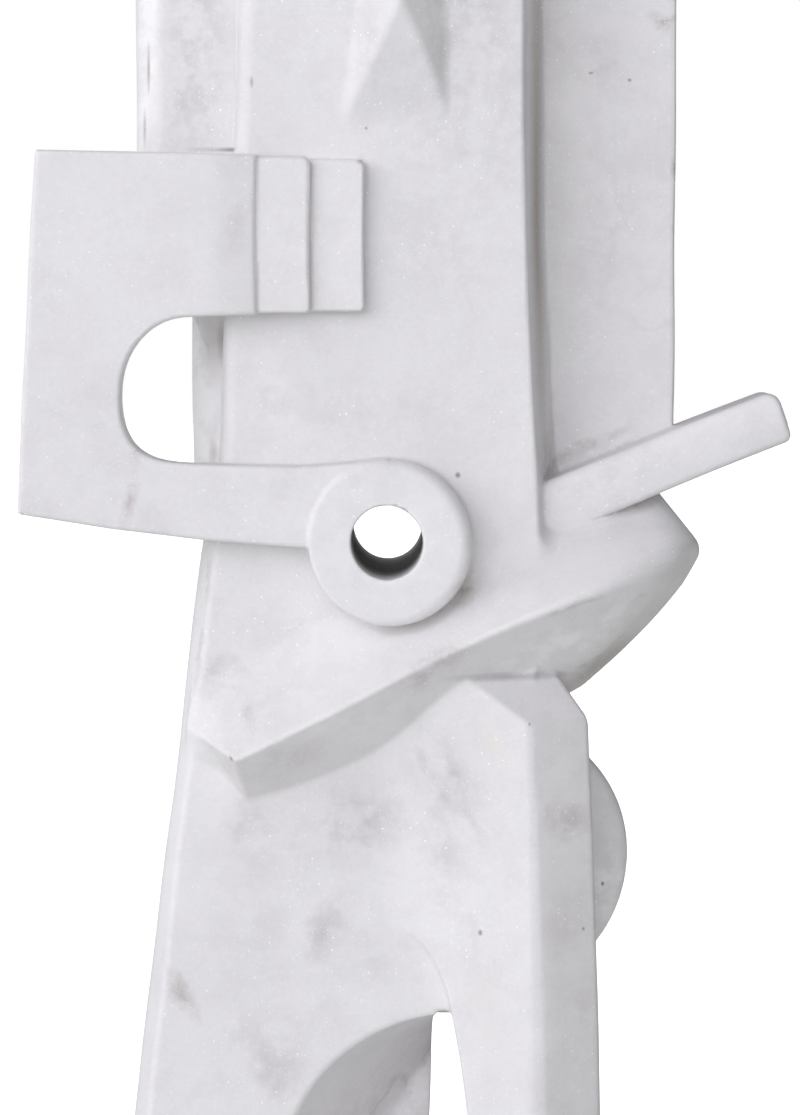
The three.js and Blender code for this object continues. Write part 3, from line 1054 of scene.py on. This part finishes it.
hollows = [
    # painted shade deep inside the bore
    ("dark", (-4.2, -2, 321.6), (30, 30), 0, 1.7),
    # painted shade in the crease between the hip and the right leg
    ("dark", (27, -37, 287.3), (1.4, 20), 90, 0.42),
]


def marks(tree, place, rows, depth):
    # each mark is an ellipsoid, strongest in its middle; the rows of one tone add up
    totals = {}
    for tone, middle, (across, along), turn, strength in rows:
        axes = addNode(tree, "ShaderNodeMapping", Vector=place)
        axes.vector_type = "TEXTURE"
        axes.inputs["Location"].default_value = Vector(middle) / 1000
        axes.inputs["Rotation"].default_value = (0, math.radians(turn), 0)
        axes.inputs["Scale"].default_value = (across / 1000, depth / 1000, along / 1000)
        fall = addNode(tree, "ShaderNodeTexGradient", Vector=axes.outputs[0])
        fall.gradient_type = "SPHERICAL"
        total = mathNode(tree, "MULTIPLY_ADD", fall.outputs["Fac"], strength)
        if tone in totals:
            tree.links.new(totals[tone], total.node.inputs[2])
        else:
            total.node.inputs[2].default_value = 0
        totals[tone] = total
    return totals


# noise patterns as scale, detail and roughness; rises as the noise value where the tone starts, the value
# where it is full, and how much of it there is then
stone = dict(
    wander=(150, 4, 0.65),
    wanderShift=(0.005, 0.005, 0.005),
    roam=(36, 2, 0.55),
    roamShift=(0.009, 0.009, 0.009),
    broad=(19, 3, 0.6),
    broadRise=(0.44, 0.70, 0.13),
    small=(80, 3, 0.65),
    smallRise=(0.42, 0.68, 0.12),
    grain=(800, 2, 0.55),
    grainRise=(0.35, 0.75, 0.08),
    roamRise=(0.5, 0.75, 0.08),
    backFrom=(-0.02, 0.004),
    ragged=(24, 4, 0.62),
    raggedRise=(0.5, 0.68, 0.42),
    threads=(13, 3, 0.55),
    threadRise=(0.014, 0, 0.3),
    patchy=(0.38, 0.64, 0.3, 1.3),
    depths=dict(clouds=18, veins=9, pits=4, creases=11, hollows=45),
    # the first sets painted shade in inner corners, partly dust; the second a painted highlight along convex
    # edges, partly wear
    edges=[("creviceShadeAndDust", "brown", 0.2), ("ridge", "paintedLightAndWear", 0.4)],
    edgeRise=(0.3, 0.9),
    crowd=(45, 2, 0.55),
    crowdRise=(0.4, 0.65, 0.3),
    roughness=(0.3, 0.7, 0.42, 0.54),
    relief=(600, 2, 0.55),
    reliefStrength=0.5,
    reliefDepth=0.00008,
)
# painted glints of crystal faces: the cells' scale, a spot's size in its cell, the lot from which a cell has
# one, and strength
paintedGlints = [(560, 0.2, 0.94, 1.0), (1000, 0.26, 0.8, 0.6), (1700, 0.3, 0.75, 0.3)]


def rise(tree, value, limits):
    # nothing below the first limit, then up to the most at the second
    low, high, most = limits
    return ramp(tree, value, low, high, 0, most)


def drifting(tree, place):
    # a wandering copy of the coordinates, which gives clouds and veins their uneven outlines
    wander = noise(tree, place, *stone["wander"])
    roam = noise(tree, place, *stone["roam"])
    for source, shift in ((wander, "wanderShift"), (roam, "roamShift")):
        shake = vectorNode(tree, "SUBTRACT", source.outputs["Color"], (0.5, 0.5, 0.5))
        place = vectorNode(tree, "ADD", place, vectorNode(tree, "MULTIPLY", shake, stone[shift]))
    return place, wander.outputs[0], roam.outputs[0]


def mottled(tree, place, adrift, roam):
    # broad lavender-grey drifts, smaller mottling and grain; round the sides and back, clouds and fine
    # veins by chance as well
    grain = noise(tree, place, *stone["grain"]).outputs[0]
    amount = rise(tree, grain, stone["grainRise"])
    for name in ("broad", "small"):
        pattern = noise(tree, adrift, *stone[name]).outputs[0]
        amount = mathNode(tree, "ADD", amount, rise(tree, pattern, stone[name + "Rise"]))
    colour = tint(tree, marble["white"], marble["grey"], amount)
    colour = tint(tree, colour, marble["mauve"], rise(tree, roam, stone["roamRise"]))
    axes = tree.nodes.new("ShaderNodeSeparateXYZ")
    tree.links.new(place, axes.inputs[0])
    behind = ramp(tree, axes.outputs[1], *stone["backFrom"])
    ragged = rise(tree, noise(tree, adrift, *stone["ragged"]).outputs[0], stone["raggedRise"])
    colour = tint(tree, colour, marble["mauve"], mathNode(tree, "MULTIPLY", ragged, behind))
    threads = mathNode(tree, "SUBTRACT", noise(tree, adrift, *stone["threads"]).outputs[0], 0.5)
    thread = rise(tree, mathNode(tree, "ABSOLUTE", threads), stone["threadRise"])
    return tint(tree, colour, marble["brown"], mathNode(tree, "MULTIPLY", thread, behind)), grain


def marked(tree, colour, place, adrift, wander):
    # the placed marks, some of them painted light and shade: clouds and veins drift and are patchy, the
    # others lie where they are put
    patchy = ramp(tree, wander, *stone["patchy"])
    depths = stone["depths"]
    for rows, name in ((clouds, "clouds"), (veins, "veins")):
        for tone, value in marks(tree, adrift, rows, depths[name]).items():
            colour = tint(tree, colour, marble[tone], mathNode(tree, "MULTIPLY", value, patchy))
    for rows, name in ((pits, "pits"), (creases, "creases"), (hollows, "hollows")):
        for tone, value in marks(tree, place, rows, depths[name]).items():
            colour = tint(tree, colour, marble[tone], value)
    # painted shade in the inner corners, partly dust, and a painted highlight along the convex edges, partly
    # cleaner worn stone
    for name, tone, most in stone["edges"]:
        layer = tree.nodes.new("ShaderNodeAttribute")
        layer.attribute_name = name
        amount = rise(tree, layer.outputs["Fac"], (*stone["edgeRise"], most))
        colour = tint(tree, colour, marble[tone], amount)
    return colour


def sparkling(tree, colour, place):
    # painted glints: small round spots about a few of a cellular pattern's points, more of them where they
    # crowd
    crowd = rise(tree, noise(tree, place, *stone["crowd"]).outputs[0], stone["crowdRise"])
    for scale, size, share, strength in paintedGlints:
        cells = addNode(tree, "ShaderNodeTexVoronoi", Vector=place, Scale=scale)
        spot = ramp(tree, cells.outputs["Distance"], size, size * 0.4, 0, strength)
        lot = mathNode(tree, "ADD", vectorNode(tree, "DOT_PRODUCT", cells.outputs["Color"], (1, 0, 0)), crowd)
        chosen = ramp(tree, lot, share, share + 0.08)
        colour = tint(tree, colour, marble["paintedGlint"], mathNode(tree, "MULTIPLY", spot, chosen))
    return colour


def makeMarble():
    material = bpy.data.materials.new("honedMarble")
    material.use_nodes = True
    tree = material.node_tree
    shader = tree.nodes["Principled BSDF"]
    place = tree.nodes.new("ShaderNodeTexCoord").outputs["Object"]
    adrift, wander, roam = drifting(tree, place)
    colour, grain = mottled(tree, place, adrift, roam)
    colour = sparkling(tree, marked(tree, colour, place, adrift, wander), place)
    tree.links.new(colour, shader.inputs["Base Color"])
    tree.links.new(ramp(tree, grain, *stone["roughness"]), shader.inputs["Roughness"])
    relief = addNode(
        tree,
        "ShaderNodeBump",
        Height=noise(tree, place, *stone["relief"]).outputs[0],
        Strength=stone["reliefStrength"],
        Distance=stone["reliefDepth"],
    )
    tree.links.new(relief.outputs[0], shader.inputs["Normal"])
    return material


figure.data.materials.clear()
figure.data.materials.append(makeMarble())
say("marble made")

# floor and light

studio = dict(
    halfFloor=12,
    floor=(0.885, 0.9, 0.87),
    matt=0.9,
    glow=0.12,
    paleNear=0.16,
    paleFrom=0.25,
    paleBy=1.0,
    even=0.02,
    narrow=5,
    sides=[
        dict(azimuth=-150, height=5, strength=0.40, cool=0.0),
        dict(azimuth=-100, height=5, strength=0.42, cool=0.0),
        dict(azimuth=-70, height=5, strength=0.50, cool=0.3),
        dict(azimuth=-45, height=5, strength=1.12, cool=1.0),
        dict(azimuth=-22, height=5, strength=1.45, cool=1.0),
        dict(azimuth=0, height=5, strength=0.72, cool=0.3),
        dict(azimuth=-75, height=50, strength=0.30, cool=0.3),
    ],
    warm=(0.99, 1.0, 0.985),
    cool=(1.0, 0.975, 1.05),
)


def onlyCamera(tree):
    # 1 where the camera looks straight at the stage, 0 where the stage lights the stone
    return tree.nodes.new("ShaderNodeLightPath").outputs["Is Camera Ray"]


def makeFloor():
    # pale and matt; further out it brightens to the white of the room, so that no horizon shows
    corners = np.array([(-1, -1, 0), (1, -1, 0), (1, 1, 0), (-1, 1, 0)]) * studio["halfFloor"]
    floor = meshFrom("floor", corners, np.array([[0, 1, 2, 3]]))
    plain = bpy.data.materials.new("paleFloor")
    plain.use_nodes = True
    tree = plain.node_tree
    shader = tree.nodes["Principled BSDF"]
    shader.inputs["Base Color"].default_value = (*studio["floor"], 1)
    shader.inputs["Roughness"].default_value = studio["matt"]
    shader.inputs["Specular IOR Level"].default_value = 0
    shader.inputs["Emission Color"].default_value = (1, 1, 1, 1)
    away = vectorNode(tree, "LENGTH", tree.nodes.new("ShaderNodeTexCoord").outputs["Object"])
    pale = ramp(tree, away, studio["paleFrom"], studio["paleBy"], studio["paleNear"], 1)
    lift = mathNode(tree, "MULTIPLY", onlyCamera(tree), pale)
    tree.links.new(mathNode(tree, "ADD", lift, studio["glow"]), shader.inputs["Emission Strength"])
    floor.data.materials.append(plain)


def makeRoom():
    # soft light in broad lobes: each is its strength times e to the power of narrow times (the cosine
    # between the direction and the lobe's middle, less 1)
    world = bpy.data.worlds.new("softRoom")
    bpy.context.scene.world = world
    world.use_nodes = True
    tree = world.node_tree
    direction = tree.nodes.new("ShaderNodeTexCoord").outputs["Generated"]
    light = [studio["even"]] * 3
    for side in studio["sides"]:
        around, up = math.radians(side["azimuth"]), math.radians(side["height"])
        middle = Vector((math.sin(around) * math.cos(up), -math.cos(around) * math.cos(up), math.sin(up)))
        cosine = vectorNode(tree, "DOT_PRODUCT", direction, middle * studio["narrow"])
        lobe = mathNode(tree, "EXPONENT", mathNode(tree, "SUBTRACT", cosine, studio["narrow"]))
        tone = Vector(studio["warm"]).lerp(Vector(studio["cool"]), side["cool"]) * side["strength"]
        glow = tree.nodes.new("ShaderNodeVectorMath")
        glow.operation = "SCALE"
        glow.inputs[0].default_value = tone
        tree.links.new(lobe, glow.inputs["Scale"])
        light = vectorNode(tree, "ADD", glow.outputs[0], light)
    room = tree.nodes["Background"]
    tree.links.new(light, room.inputs["Color"])
    room.inputs["Strength"].default_value = 1
    white = addNode(tree, "ShaderNodeBackground", Color=(1, 1, 1, 1))
    mix = tree.nodes.new("ShaderNodeMixShader")
    tree.links.new(onlyCamera(tree), mix.inputs[0])
    tree.links.new(room.outputs[0], mix.inputs[1])
    tree.links.new(white.outputs[0], mix.inputs[2])
    tree.links.new(mix.outputs[0], tree.nodes["World Output"].inputs["Surface"])


makeFloor()
makeRoom()
bpy.context.scene.view_settings.view_transform = "Standard"
